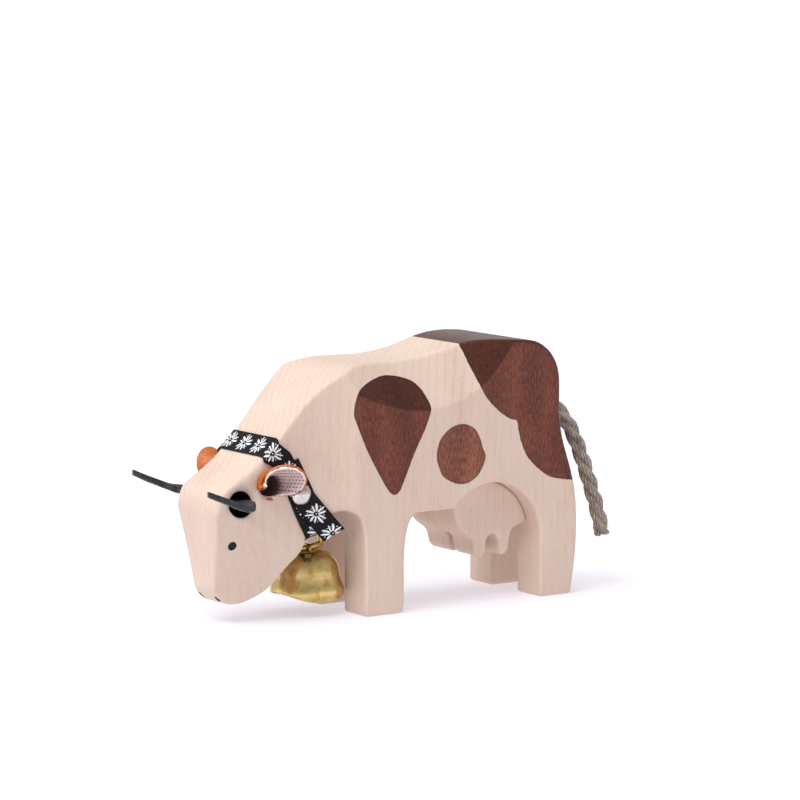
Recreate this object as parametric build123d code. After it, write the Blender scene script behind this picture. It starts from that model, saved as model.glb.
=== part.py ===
from build123d import *
import os
from math import atan2, cos, pi, radians, sin, sqrt, tan

# A grazing wooden cow. Its body is one board sawn to the cow's outline and scooped by hand. It has a glued
# udder, leather horns and ears, a ribbon collar with a nail, a brass bell, and a tail of rope.
# Millimetres, +Z up. The nose points along -X, the cow's left side faces -Y, and the origin lies on the
# floor under the middle of the figure without its tail.

os.makedirs("parts", exist_ok=True)

# Driving sizes
body_length = 157.4
body_height = 100.8
board_thickness = 48.0
horn_overhang = 12.0

# Wood
head_width = 32.0
leg_thickness = 15.74
slot_height = 34.0
chin_width = 14.6
saddle_radius = 102.3
arch_radius = 22.2
eye_diameter = 3.4
eye_depth = 0.8
horn_hole_diameter = 9.4
ear_hole_diameter = 8.2
ear_hole_depth = 8.0
tail_hole_depth = 8.0
udder_thickness = 31.7
teat_slot_width = 3.0
teat_slot_height = 25.0

# Leather
horn_width = 7.4
horn_tip_width = 2.2
horn_thickness = 2.8
horn_tip_thickness = 2.3
horn_bend_radius = 10.0
horn_rise = 7.1
horn_root_gap = 1.0
ear_leather = 1.9
ear_length = 18.0
ear_height = 12.0
ear_reach = 5.9

# Ribbon and its nail
ribbon_width = 10.0
ribbon_thickness = 0.6
nail_head_diameter = 8.0
nail_head_height = 2.8
nail_rim = 0.4
nail_shank_diameter = 1.6
nail_length = 9.0

# Bell
ring_width = 15.6
ring_height = 8.4
ring_bar = 2.5
ring_thickness = 2.2
ring_corner_radius = 3.0
ring_edge_radius = 0.9
bell_width = 24.6
bell_height = 17.2
bell_wall = 0.8
bell_corner_share = 0.65
bell_lip_rise = 3.4
staple_wire = 1.2
staple_reach = 3.9
clapper_ball_diameter = 4.8
clapper_wire = 1.2
clapper_length = 9.6
crown_gap = 0.9

# Rope
rope_diameter = 6.0

# Fits
glue_gap = 0.1
ribbon_gap = 0.05
running_gap = 0.3
overrun = 5.0

# Angles in degrees
ring_lean = 8.0
horn_turn = 85.0

nose_x = (horn_overhang - body_length) / 2
rump_x = nose_x + body_length
half_board = board_thickness / 2
half_head = head_width / 2


def side(point):
    """A point of the side view, given as shares of the body's length and height."""
    return (nose_x + point[0] * body_length, point[1] * body_height)


def side_x(share):
    return nose_x + share * body_length


def side_z(share):
    return share * body_height


def board(outline, half_width):
    """Stand a closed side outline up as a board, thick to both sides of the middle plane."""
    return extrude(Plane.XZ * make_face(outline), amount=half_width, both=True)


def curve(shares):
    return Spline(*[side(point) for point in shares])


def both_sides(shape):
    return [shape, mirror(shape, about=Plane.XZ)]


# Side outline of the body, in shares of its length and height
leg_front_share = 0.378
leg_front_top_share = 0.258
leg_rear_share = 0.4854
throat_shares = [
    (0.378, 0.258), (0.371, 0.345), (0.356, 0.386), (0.334, 0.401), (0.305, 0.395),
    (0.276, 0.359), (0.257, 0.334), (0.237, 0.306),
]
jaw_shares = [
    (0.237, 0.306), (0.226, 0.259), (0.198, 0.211), (0.159, 0.130), (0.118, 0.088),
    (0.073, 0.070), (0.040, 0.085), (0.018, 0.134),
]
nose_shares = [(0.018, 0.134), (0.013, 0.251), (0.005, 0.366), (0.000, 0.442), (0.004, 0.481), (0.026, 0.518)]
back_shares = [
    (0.026, 0.518), (0.086, 0.578), (0.125, 0.623), (0.195, 0.734), (0.247, 0.823), (0.295, 0.884),
    (0.350, 0.928), (0.417, 0.9415), (0.497, 0.940), (0.566, 0.949), (0.625, 0.966), (0.676, 0.987),
    (0.733, 0.9995), (0.824, 0.996), (0.884, 0.980), (0.914, 0.948), (0.935, 0.904), (0.945, 0.853),
    (0.947, 0.792), (0.947, 0.714), (0.956, 0.609), (0.970, 0.539), (0.989, 0.441), (1.000, 0.298),
    (0.994, 0.128), (0.981, 0.000),
]
foreleg_rear_shares = [
    (0.4854, 0.000), (0.488, 0.125), (0.491, 0.257), (0.500, 0.324), (0.512, 0.359), (0.526, 0.374),
]
arch_x_share = 0.747
arch_z_share = 0.239
belly_share = 0.374

# Places on the body, in the same shares
flare_start_share = 0.175
flare_end_share = 0.359
slot_start_share = 0.346
horn_hole_share = (0.0635, 0.454)
ear_hole_share = (0.1417, 0.515)
eye_share = (0.050, 0.299)
nail_share = (0.2198, 0.474)
tail_share = (0.947, 0.735)
saddle_axis_share = (0.6374, 0.873)
saddle_reach_share = 0.617
saddle_lean_shares = (0.4, 0.48, -1.0)
muzzle_rise_share = 0.258
muzzle_spread_share = 0.2

flare_start_x = side_x(flare_start_share)
flare_end_x = side_x(flare_end_share)
flare_depth = (board_thickness - head_width) / 2
flare_run = flare_end_x - flare_start_x
flare_radius = (flare_run**2 + flare_depth**2) / (2 * flare_depth)
arch_centre = side((arch_x_share, arch_z_share))
belly_z = side_z(belly_share)


def flank(x):
    """Half width of the wood at x, in plan."""
    run = max(0, x - flare_start_x)
    if x >= flare_end_x:
        return half_board
    return half_head + flare_radius - sqrt(flare_radius**2 - run**2)


def plan_block(grow):
    """The plan of head, flaring neck and trunk, grown outwards and stood up as a tall block."""
    head = half_head + grow
    trunk = half_board + grow
    radius = flare_radius - grow
    centre_y = half_head + flare_radius
    end_x = flare_start_x + sqrt(radius**2 - (centre_y - trunk)**2)
    middle = atan2(end_x - flare_start_x, centre_y - trunk) / 2
    middle_x = flare_start_x + radius * sin(middle)
    middle_y = centre_y - radius * cos(middle)
    front = nose_x - overrun
    back = rump_x + overrun
    outline = Curve() + [
        Line((front, -head), (flare_start_x, -head)),
        ThreePointArc((flare_start_x, -head), (middle_x, -middle_y), (end_x, -trunk)),
        Line((end_x, -trunk), (back, -trunk)),
        Line((back, -trunk), (back, trunk)),
        Line((back, trunk), (end_x, trunk)),
        ThreePointArc((end_x, trunk), (middle_x, middle_y), (flare_start_x, head)),
        Line((flare_start_x, head), (front, head)),
        Line((front, head), (front, -head)),
    ]
    return Pos(0, 0, -overrun) * extrude(make_face(outline), amount=body_height + 2 * overrun)


def body_outline():
    """The sawn side outline, from the foreleg's foot round by throat, nose, back and rump."""
    arch_start_x = arch_centre[0] - sqrt(arch_radius**2 - (belly_z - arch_centre[1])**2)
    arch_end = (arch_centre[0] + arch_radius, arch_centre[1])
    arch_top = (arch_centre[0], arch_centre[1] + arch_radius)
    rump_foot = side(back_shares[-1])
    hind_foot = (arch_end[0], 0)
    return Curve() + [
        Line(side((leg_front_share, 0)), side((leg_front_share, leg_front_top_share))),
        curve(throat_shares),
        curve(jaw_shares),
        curve(nose_shares),
        curve(back_shares),
        Line(rump_foot, hind_foot),
        Line(hind_foot, arch_end),
        ThreePointArc(arch_end, arch_top, (arch_start_x, belly_z)),
        Line((arch_start_x, belly_z), side(foreleg_rear_shares[-1])),
        curve(foreleg_rear_shares[::-1]),
        Line(side((leg_rear_share, 0)), side((leg_front_share, 0))),
    ]


# The muzzle's slanted cheeks: a plane through the chin that spreads upwards and backwards
chin_x, chin_z = side(nose_shares[0])
muzzle_normal = Vector(-muzzle_spread_share, 1, -muzzle_rise_share).normalized()


def muzzle_y(x, z):
    """Half width of the muzzle on its slanted cheek."""
    return chin_width / 2 + muzzle_rise_share * (z - chin_z) + muzzle_spread_share * (x - chin_x)


def muzzle_cuts():
    cheek = Plane(origin=(chin_x, chin_width / 2, chin_z), z_dir=muzzle_normal)
    slab = cheek * Box(body_length, body_length, body_length, align=(Align.CENTER, Align.CENTER, Align.MIN))
    throat_x, throat_z = side(throat_shares[-1])
    head_run = throat_x - nose_x + overrun
    zone = Pos(throat_x - head_run / 2, half_board / 2, body_height / 2) * Box(
        head_run, board_thickness, body_height + overrun
    )
    return both_sides(slab & zone)


def eye_cuts():
    x, z = side(eye_share)
    seat = Plane(origin=(x, muzzle_y(x, z), z), z_dir=muzzle_normal)
    drill = seat * Pos(0, 0, -eye_depth) * Cylinder(
        eye_diameter / 2, eye_depth + overrun, align=(Align.CENTER, Align.CENTER, Align.MIN)
    )
    return both_sides(drill)


def saddle_cuts():
    """The long hand scoop high on each flank: a leaning cylinder."""
    x, z = side(saddle_axis_share)
    y = saddle_radius + saddle_reach_share * board_thickness
    axis = Plane(origin=(x, y, z), z_dir=Vector(*saddle_lean_shares))
    return both_sides(axis * Cylinder(saddle_radius, 2 * body_length))


def cross_cylinder(point, radius, length):
    """A cylinder along Y, in the middle plane, through a point of the side view."""
    return Pos(point[0], 0, point[1]) * Rot(90, 0, 0) * Cylinder(radius, length)


def side_cylinder(point, radius, depth):
    """A blind drilling from the head's right face, along Y."""
    span = depth + overrun
    centre = half_head - depth + span / 2
    return Pos(point[0], centre, point[1]) * Rot(90, 0, 0) * Cylinder(radius, span)


tail_x, tail_z = side(tail_share)
tail_hole_radius = rope_diameter / 2 + glue_gap
nail_x, nail_z = side(nail_share)
nail_slope = (nail_x - flare_start_x) / sqrt(flare_radius**2 - (nail_x - flare_start_x)**2)
nail_seat_y = flank(nail_x) + 2 * (ribbon_gap + ribbon_thickness) + 2 * ribbon_gap
nail_seat = Plane(
    origin=(nail_x, -nail_seat_y, nail_z), x_dir=(0, 0, 1), z_dir=Vector(-nail_slope, -1, 0)
)


def body():
    shape = board(body_outline(), half_board + overrun) & plan_block(0)
    slot_x = side_x(slot_start_share)
    slot_length = rump_x - slot_x + overrun
    slot_width = board_thickness - 2 * leg_thickness
    slot = Pos(slot_x + slot_length / 2, 0, (slot_height - overrun) / 2) * Box(
        slot_length, slot_width, slot_height + overrun
    )
    tail_hole = Pos(tail_x + (overrun - tail_hole_depth) / 2, 0, tail_z) * Rot(0, 90, 0) * Cylinder(
        tail_hole_radius, tail_hole_depth + overrun
    )
    nail_hole = nail_seat * Pos(0, 0, -nail_length) * Cylinder(
        nail_shank_diameter / 2 + ribbon_gap, nail_length + overrun,
        align=(Align.CENTER, Align.CENTER, Align.MIN),
    )
    ear_drill = side_cylinder(side(ear_hole_share), ear_hole_diameter / 2, ear_hole_depth)
    shape -= [
        slot,
        cross_cylinder(side(horn_hole_share), horn_hole_diameter / 2, board_thickness),
        tail_hole,
        nail_hole,
    ]
    for cut in muzzle_cuts() + eye_cuts() + saddle_cuts() + both_sides(ear_drill):
        shape -= cut
    return shape


# Lower outline of the udder, from its front to its rear, with two teats to a side
udder_shares = [
    (0.662, 0.358), (0.670, 0.324), (0.682, 0.285), (0.705, 0.255), (0.722, 0.228), (0.728, 0.190),
    (0.739, 0.169), (0.750, 0.164), (0.760, 0.178), (0.765, 0.230), (0.782, 0.250), (0.797, 0.232),
    (0.803, 0.180), (0.813, 0.163), (0.824, 0.172), (0.833, 0.222), (0.844, 0.262), (0.866, 0.275),
    (0.882, 0.283),
]
udder_front_share = 0.655


def udder():
    """The glued udder board: its upper edge follows the arch of the belly."""
    radius = arch_radius - glue_gap
    front_x = side_x(udder_front_share)
    front_top = (front_x, arch_centre[1] + sqrt(radius**2 - (front_x - arch_centre[0])**2))
    rear = side(udder_shares[-1])
    rear_top = (arch_centre[0] + sqrt(radius**2 - (rear[1] - arch_centre[1])**2), rear[1])
    middle = (arch_centre[0], arch_centre[1] + radius)
    outline = Curve() + [
        Line(front_top, side(udder_shares[0])),
        curve(udder_shares),
        Line(rear, rear_top),
        ThreePointArc(rear_top, middle, front_top),
    ]
    shape = board(outline, udder_thickness / 2)
    teat_slot = Pos(arch_centre[0], 0, (teat_slot_height - overrun) / 2) * Box(
        3 * arch_radius, teat_slot_width, teat_slot_height + overrun
    )
    return shape - teat_slot


# The horns are one flat crescent: straight through the head, bent forward, then tapering to each tip
horn_straight = half_head + horn_root_gap
horn_arc = horn_bend_radius * radians(horn_turn)
horn_tip_x = nose_x - horn_overhang
horn_x, horn_z = side(horn_hole_share)
horn_bend_reach = horn_bend_radius * (1 - cos(radians(horn_turn)))
horn_run = (horn_x - horn_bend_reach - horn_tip_x) / sin(radians(horn_turn)) - horn_tip_width / 2
horn_steps = 14


def horn_station(share):
    """Centre, direction and half width of the crescent at a share of its length from the middle."""
    length = horn_straight + horn_arc + horn_run
    s = share * length
    taper = max(0, s - half_head) / (length - half_head)
    half = (horn_width + taper * (horn_tip_width - horn_width)) / 2
    turn = min(max(0, s - horn_straight), horn_arc) / horn_bend_radius
    x = horn_x - horn_bend_radius * (1 - cos(turn))
    y = min(s, horn_straight) + horn_bend_radius * sin(turn)
    beyond = max(0, s - horn_straight - horn_arc)
    return (x - beyond * sin(turn), y + beyond * cos(turn)), turn, half


def horn_plan():
    inner = []
    outer = []
    for step in range(horn_steps + 1):
        (x, y), turn, half = horn_station(step / horn_steps)
        inner.append((x - half * cos(turn), y - half * sin(turn)))
        outer.append((x + half * cos(turn), y + half * sin(turn)))
    (x, y), turn, half = horn_station(1)
    tip = (x - half * sin(turn), y + half * cos(turn))
    outline = Curve() + [
        Spline(*inner),
        ThreePointArc(inner[-1], tip, outer[-1]),
        Spline(*outer[::-1]),
        Line(outer[0], inner[0]),
    ]
    return make_face(outline)


horn_profile_shares = [(-0.35, 0.0), (0.0, 0.0), (0.18, 0.03), (0.48, 0.36), (0.8, 0.75), (1.06, 1.08)]


def horns():
    """The crescent's plan, cut by a thin strip that rises from the hole to the tips."""
    reach = horn_x - horn_tip_x
    lower = []
    upper = []
    for along, rise in horn_profile_shares:
        half = (horn_thickness + max(0, along) * (horn_tip_thickness - horn_thickness)) / 2
        lower.append((horn_x - along * reach, horn_z + rise * horn_rise - half))
        upper.append((horn_x - along * reach, horn_z + rise * horn_rise + half))
    outline = Curve() + [
        Spline(*lower),
        Line(lower[-1], upper[-1]),
        Spline(*upper[::-1]),
        Line(upper[0], lower[0]),
    ]
    strip = board(outline, board_thickness)
    plan = horn_plan()
    plan_both = plan + mirror(plan, about=Plane.XZ)
    column = extrude(plan_both, amount=body_height)
    return strip & column


# An ear is a leather scoop: a rolled root in its hole that flares to an oval mouth, open along its lower side
ear_x, ear_z = side(ear_hole_share)
ear_mouth_shift_share = 0.094
ear_major_shares = (0.855, 0.47, 0.217)
ear_minor_shares = (0.04, 0.25, 0.966)
ear_slot_share = 0.62
ear_mouth_rise_share = 0.17
# The right ear sits turned in its hole, so that it stands up over the brow
right_ear_turn = 75.0


def ear_cone(inset, root_y):
    """The ear's outer form, or its hollow when inset by the leather's thickness."""
    root_radius = ear_hole_diameter / 2 - glue_gap - inset
    root = Plane(origin=(ear_x, root_y, ear_z), x_dir=(1, 0, 0), z_dir=(0, 1, 0))
    collar = Plane(origin=(ear_x, half_head, ear_z), x_dir=(1, 0, 0), z_dir=(0, 1, 0))
    major = Vector(*ear_major_shares).normalized()
    minor = Vector(*ear_minor_shares).normalized()
    mouth_x = ear_x + ear_mouth_shift_share * ear_length
    mouth_z = ear_z + ear_mouth_rise_share * ear_height
    normal = minor.cross(major).normalized()
    push = normal * (2 * glue_gap if inset else 0)
    mouth = Plane(origin=Vector(mouth_x, half_head + ear_reach, mouth_z) + push, x_dir=major, z_dir=normal)
    oval = Ellipse(ear_length / 2 - inset, ear_height / 2 - inset)
    return loft([root * Circle(root_radius), collar * Circle(root_radius)]) + loft(
        [collar * Circle(root_radius), mouth * oval]
    )


def scooped_ear():
    """An ear on the right side, before it is turned or mirrored."""
    depth_y = half_head - ear_hole_depth + glue_gap
    shape = ear_cone(0, depth_y) - ear_cone(ear_leather, depth_y - overrun)
    slit = Pos(ear_x - ear_hole_diameter / 4, half_head + overrun, ear_z - ear_height / 2) * Box(
        ear_slot_share * ear_hole_diameter, board_thickness, ear_height
    )
    return shape - slit


def turned_ear(ear):
    return Pos(ear_x, 0, ear_z) * Rot(0, -right_ear_turn, 0) * Pos(-ear_x, 0, -ear_z) * ear


# The collar crosses the neck aslant: its side view, in shares of the body's length and height
collar_shares = [
    (0.102, 0.649), (0.148, 0.589), (0.191, 0.476), (0.2365, 0.300), (0.293, 0.370),
    (0.243, 0.522), (0.1995, 0.635), (0.146, 0.706),
]
collar_tail_shares = [
    (0.148, 0.589), (0.191, 0.476), (0.205, 0.4385), (0.2765, 0.2956), (0.324, 0.339),
    (0.2516, 0.480), (0.1995, 0.635),
]
throat_front_share = (0.237, 0.300)
throat_rear_share = (0.2925, 0.370)
throat_foot_shares = [(0.2387, 0.2915), (0.29547, 0.3625), (0.28774, 0.386), (0.23185, 0.318)]
neck_rise_shares = (0.07, 0.111)
ring_centre_share = (0.2929, 0.2748)
bell_middle_y_share = -0.0625

ring_x, ring_z = side(ring_centre_share)
bell_y = bell_middle_y_share * board_thickness
ring_frame = Plane(
    origin=(ring_x, bell_y, ring_z),
    x_dir=(cos(radians(ring_lean)), 0, sin(radians(ring_lean))),
    z_dir=(0, -1, 0),
)
ribbon_drop = ring_height / 2 - ring_bar - running_gap - ribbon_thickness / 2
ribbon_middle = ring_frame.from_local_coords(Vector(0, ribbon_drop, 0))


def strip_section(front, rear, front_y, rear_y):
    """A thin upright slice of the ribbon from its front edge to its rear edge."""
    corners = [
        (front[0], front_y, front[1]),
        (rear[0], rear_y, rear[1]),
        (rear[0], rear_y, rear[1] - ribbon_thickness),
        (front[0], front_y, front[1] - ribbon_thickness),
    ]
    return make_face(Polyline(*corners, close=True))


def under_strip():
    """The ribbon's run under the throat: it sags to the middle, where the bell's ring hangs on it."""
    front = side(throat_front_share)
    rear = side(throat_rear_share)
    front_y = flank(front[0]) + ribbon_gap + ribbon_thickness / 2
    rear_y = flank(rear[0]) + ribbon_gap + ribbon_thickness / 2
    reach_x = ribbon_width / 2 * cos(radians(ring_lean))
    reach_z = ribbon_width / 2 * sin(radians(ring_lean))
    top = ribbon_middle.Z + ribbon_thickness / 2
    low_front = (ribbon_middle.X - reach_x, top - reach_z)
    low_rear = (ribbon_middle.X + reach_x, top + reach_z)
    near_y = bell_y - ring_thickness
    far_y = bell_y + ring_thickness
    sections = [
        strip_section(front, rear, -front_y, -rear_y),
        strip_section(low_front, low_rear, near_y, near_y),
        strip_section(low_front, low_rear, far_y, far_y),
        strip_section(front, rear, front_y, rear_y),
    ]
    return loft(sections, ruled=True)


def raised_board(lift):
    """The body's board moved a little way out, square to the slope of the neck under the collar."""
    slope = atan2(neck_rise_shares[1] * body_height, neck_rise_shares[0] * body_length)
    return Pos(-lift * sin(slope), 0, lift * cos(slope)) * board(body_outline(), board_thickness)


def side_prism(shares):
    face = make_face(Polyline(*[side(point) for point in shares], close=True))
    return extrude(Plane.XZ * face, amount=board_thickness, both=True)


def collar_ribbon():
    """One ribbon: a loop round the neck and, over it on the left side, its long free end."""
    layer = ribbon_gap + ribbon_thickness
    band = side_prism(collar_shares)
    sheath = plan_block(layer)
    top = (raised_board(layer) - raised_board(ribbon_gap)) & sheath & band
    top &= Pos(0, 0, body_height) * Box(2 * body_length, 2 * board_thickness, body_height)
    walls = (sheath - plan_block(ribbon_gap)) & band & raised_board(layer)
    walls += (sheath - plan_block(ribbon_gap)) & side_prism(throat_foot_shares)
    second = plan_block(layer + ribbon_thickness) - sheath
    near_side = Pos(0, -board_thickness, 0) * Box(2 * body_length, 2 * board_thickness, 2 * body_height)
    tail = second & side_prism(collar_tail_shares) & near_side
    shape = top + walls + under_strip() + tail
    nail_bore = nail_seat * Cylinder(nail_shank_diameter / 2 + ribbon_gap, nail_head_diameter)
    return shape - nail_bore


def collar_nail():
    """A domed head on a thin shank, square to the ribbon under it."""
    radius = nail_head_diameter / 2
    dome = nail_head_height - nail_rim
    dome_radius = (radius**2 + dome**2) / (2 * dome)
    rim = Cylinder(radius, nail_head_height, align=(Align.CENTER, Align.CENTER, Align.MIN))
    head = rim & Pos(0, 0, nail_head_height - dome_radius) * Sphere(dome_radius)
    shank = Pos(0, 0, -nail_length) * Cylinder(
        nail_shank_diameter / 2, nail_length + nail_rim, align=(Align.CENTER, Align.CENTER, Align.MIN)
    )
    return nail_seat * (head + shank)


# The ring hangs on the ribbon, leaning in its own plane
def bell_ring():
    form = RectangleRounded(ring_width, ring_height, ring_corner_radius)
    outer = extrude(form, ring_thickness / 2, both=True)
    hole = extrude(
        RectangleRounded(ring_width - 2 * ring_bar, ring_height - 2 * ring_bar, ring_edge_radius / 2),
        ring_thickness, both=True,
    )
    ring = outer - hole
    rims = ring.edges().filter_by(Plane.XY)
    return ring_frame * fillet(rims, ring_edge_radius)


# The bell hangs on the ring's lower bar
bar_middle = ring_frame.from_local_coords(Vector(0, ring_bar / 2 - ring_height / 2, 0))
bell_x = bar_middle.X
crown_z = bar_middle.Z - ring_bar / 2 - crown_gap
mouth_z = crown_z - bell_height
bell_section_shares = [
    (1.0, 0.36), (0.985, 0.50), (0.93, 0.68), (0.81, 0.815), (0.6, 0.875), (0.43, 0.92), (0.28, 0.99),
    (0.15, 1.0), (-0.1, 0.985),
]


def bell_form(inset):
    """The bell as a stack of rounded squares, its hollow when inset by the wall."""
    sections = []
    for height, width in bell_section_shares:
        size = width * bell_width - 2 * inset
        z = mouth_z + height * bell_height - inset
        sections.append(Pos(bell_x, bell_y, z) * RectangleRounded(size, size, bell_corner_share * size / 2))
    return loft(sections)


def bell_shell():
    shape = bell_form(0) - bell_form(bell_wall)
    reach = bell_width / 2 + bell_wall
    lip = Curve() + [
        ThreePointArc(
            (bell_x - reach, mouth_z + bell_lip_rise),
            (bell_x, mouth_z),
            (bell_x + reach, mouth_z + bell_lip_rise),
        ),
        Line((bell_x + reach, mouth_z + bell_lip_rise), (bell_x + reach, mouth_z - overrun)),
        Line((bell_x + reach, mouth_z - overrun), (bell_x - reach, mouth_z - overrun)),
        Line((bell_x - reach, mouth_z - overrun), (bell_x - reach, mouth_z + bell_lip_rise)),
    ]
    shape -= Pos(0, bell_y, 0) * board(lip, bell_width)
    for edge in (-1, 1):
        bore = Pos(bell_x, bell_y + edge * staple_half, crown_z) * Cylinder(
            staple_wire / 2 + ribbon_gap, bell_width / 4
        )
        shape -= bore
    return shape


# The staple is a closed link: over the ring's bar, down through the crown, and closed below to carry the clapper
staple_half = ring_thickness / 2 + running_gap + staple_wire / 2
staple_top = bar_middle.Z + ring_bar / 2 + running_gap + staple_wire / 2
staple_bottom = crown_z - staple_reach


def bell_staple():
    """A closed wire link with round ends, upright across the ring."""
    middle_z = (staple_top + staple_bottom) / 2
    frame = Plane(origin=(bell_x, bell_y, middle_z), x_dir=(0, 0, 1), z_dir=(1, 0, 0))
    path = frame * SlotOverall(staple_top - staple_bottom, 2 * staple_half).wire()
    section = Plane(origin=path @ 0, z_dir=path % 0) * Circle(staple_wire / 2)
    return sweep(section, path=path)


# The clapper: a wire eye on the staple, a stem and a ball
clapper_pivot_z = staple_bottom
clapper_eye = staple_wire / 2 + running_gap + clapper_wire / 2


def clapper():
    eye = Pos(bell_x, bell_y, clapper_pivot_z) * Rot(90, 0, 0) * Torus(clapper_eye, clapper_wire / 2)
    ball_z = clapper_pivot_z - clapper_length
    stem_top = clapper_pivot_z - clapper_eye
    stem = Pos(bell_x, bell_y, (stem_top + ball_z) / 2) * Cylinder(clapper_wire / 2, stem_top - ball_z)
    ball = Pos(bell_x, bell_y, ball_z) * Sphere(clapper_ball_diameter / 2)
    return eye + stem + ball


# The tail rope leaves its hole straight back and hangs down behind the rump. Its points are in shares of the
# body's length, the board's thickness and the body's height, from the mouth of the hole.
rope_shares = [
    (0.0, 0.0, 0.0), (0.054, 0.0, 0.0), (0.096, -0.055, -0.052), (0.122, -0.105, -0.128),
    (0.149, -0.13, -0.237), (0.174, -0.14, -0.355), (0.197, -0.145, -0.46), (0.210, -0.15, -0.55),
]


def rope_points():
    return [
        Vector(tail_x + x * body_length, y * board_thickness, tail_z + z * body_height)
        for x, y, z in rope_shares
    ]


def tail_rope():
    points = rope_points()
    radii = []
    for before, point, after in zip(points, points[1:], points[2:]):
        turn = radians((point - before).get_angle(after - point))
        shorter = min((point - before).length, (after - point).length)
        radii.append(0.45 * shorter / tan(turn / 2))
    print("rope radii", [round(radius, 1) for radius in radii])
    path = FilletPolyline(*points, radius=radii)
    section = Plane(origin=path @ 0, z_dir=path % 0) * Circle(rope_diameter / 2)
    free = sweep(section, path=path)
    full = path.length * pi * rope_diameter**2 / 4
    print("rope length", round(path.length, 2), "volume share", round(free.volume / full, 4))
    root = Plane(origin=path @ 0, z_dir=(path % 0) * -1) * Cylinder(
        rope_diameter / 2, tail_hole_depth - glue_gap, align=(Align.CENTER, Align.CENTER, Align.MIN)
    )
    return free + root


ear = scooped_ear()
nodes = {
    "body": body(),
    "udder": udder(),
    "horns": horns(),
    "ear_left": mirror(ear, about=Plane.XZ),
    "ear_right": turned_ear(ear),
    "collar_ribbon": collar_ribbon(),
    "collar_nail": collar_nail(),
    "bell_ring": bell_ring(),
    "bell_shell": bell_shell(),
    "bell_staple": bell_staple(),
    "clapper": clapper(),
    "tail_rope": tail_rope(),
}
for name, shape in nodes.items():
    export_step(shape, f"parts/{name}.step")
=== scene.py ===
"""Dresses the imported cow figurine: sanded limewood, leather horns and ears, a printed ribbon, brass and hemp."""

import math
import random
from functools import partial

import bpy
import numpy as np
from bpy.props import FloatProperty, FloatVectorProperty, IntProperty, PointerProperty
from mathutils import Matrix, Vector
from mathutils.bvhtree import BVHTree


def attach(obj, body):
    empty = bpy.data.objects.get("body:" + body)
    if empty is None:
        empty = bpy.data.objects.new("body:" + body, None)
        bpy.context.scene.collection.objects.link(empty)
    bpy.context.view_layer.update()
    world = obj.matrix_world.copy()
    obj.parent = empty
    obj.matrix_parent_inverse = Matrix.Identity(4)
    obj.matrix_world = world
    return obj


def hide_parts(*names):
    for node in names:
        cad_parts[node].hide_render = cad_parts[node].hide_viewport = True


bl_info = {
    "name": "Grazing wooden cow",
    "version": (1, 0, 0),
    "blender": (4, 5, 0),
    "location": "3D View > Sidebar > Cow",
    "description": "Builds the finished look of a small wooden cow around its CAD frame",
    "category": "Object",
}

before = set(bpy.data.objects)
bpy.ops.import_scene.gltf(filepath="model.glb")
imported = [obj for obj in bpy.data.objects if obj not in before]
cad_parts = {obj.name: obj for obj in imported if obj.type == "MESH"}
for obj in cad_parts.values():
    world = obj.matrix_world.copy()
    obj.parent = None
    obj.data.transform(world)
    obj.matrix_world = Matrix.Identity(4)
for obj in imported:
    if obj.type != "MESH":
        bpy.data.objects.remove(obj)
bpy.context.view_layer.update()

MM = 0.001
LEFT = -1
RIGHT = 1

# The wood's plan and side view, as the CAD model has them, in millimetres
NOSE_X = -72.7
BODY_LENGTH = 157.4
BODY_HEIGHT = 100.8
HALF_BOARD = 24.0
HALF_HEAD = 16.0
FLARE_START_X = NOSE_X + 0.175 * BODY_LENGTH
FLARE_END_X = NOSE_X + 0.359 * BODY_LENGTH
HORN_HOLE = (NOSE_X + 0.0635 * BODY_LENGTH, 0.454 * BODY_HEIGHT)
EAR_HOLE = (NOSE_X + 0.1417 * BODY_LENGTH, 0.515 * BODY_HEIGHT)
EYE = (NOSE_X + 0.050 * BODY_LENGTH, 0.299 * BODY_HEIGHT)
TAIL_EXIT = (NOSE_X + 0.947 * BODY_LENGTH, 0.0, 0.735 * BODY_HEIGHT)


# Small helpers


def linear(colour_hex):
    """An sRGB hex colour as the linear colour that Blender's nodes take."""
    values = []
    for place in (1, 3, 5):
        share = int(colour_hex[place:place + 2], 16) / 255
        values.append(share / 12.92 if share <= 0.04045 else ((share + 0.055) / 1.055) ** 2.4)
    return (*values, 1.0)


def feed(node, feeds):
    """Feeds a node's inputs, by name or in order, each with a value, a hex colour or another node's output."""
    for key, value in feeds.items() if isinstance(feeds, dict) else enumerate(feeds):
        if isinstance(value, bpy.types.NodeSocket):
            node.id_data.links.new(value, node.inputs[key])
        else:
            node.inputs[key].default_value = linear(value) if isinstance(value, str) else value


def add(tree, kind, feeds=(), operation=None, output=None, stops=(), **settings):
    """Adds a shader node, sets it and its stops, which are places with a hex colour or a grey, and feeds it. Gives
    back the output of that name, or else the first one in use."""
    made = tree.nodes.new("ShaderNode" + kind)
    if operation:
        made.operation = operation
    if kind == "Mix":
        made.data_type = "RGBA"
    for name, value in settings.items():
        setattr(made, name, value)
    while 0 < len(stops) > len(made.color_ramp.elements):
        made.color_ramp.elements.new(0.5)
    for number, (place, colour) in enumerate(stops):
        element = made.color_ramp.elements[number]
        element.position = place
        element.color = linear(colour) if isinstance(colour, str) else (colour, colour, colour, 1.0)
    feed(made, feeds)
    return made.outputs[output] if output else next(socket for socket in made.outputs if socket.enabled)


def start_material(name):
    """A material, the function that adds nodes to it, and its shader."""
    material = bpy.data.materials.new(name)
    material.use_nodes = True
    tree = material.node_tree
    return material, partial(add, tree), tree.nodes["Principled BSDF"]


def select_only(piece):
    bpy.ops.object.select_all(action="DESELECT")
    piece.select_set(True)
    bpy.context.view_layer.objects.active = piece


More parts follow.
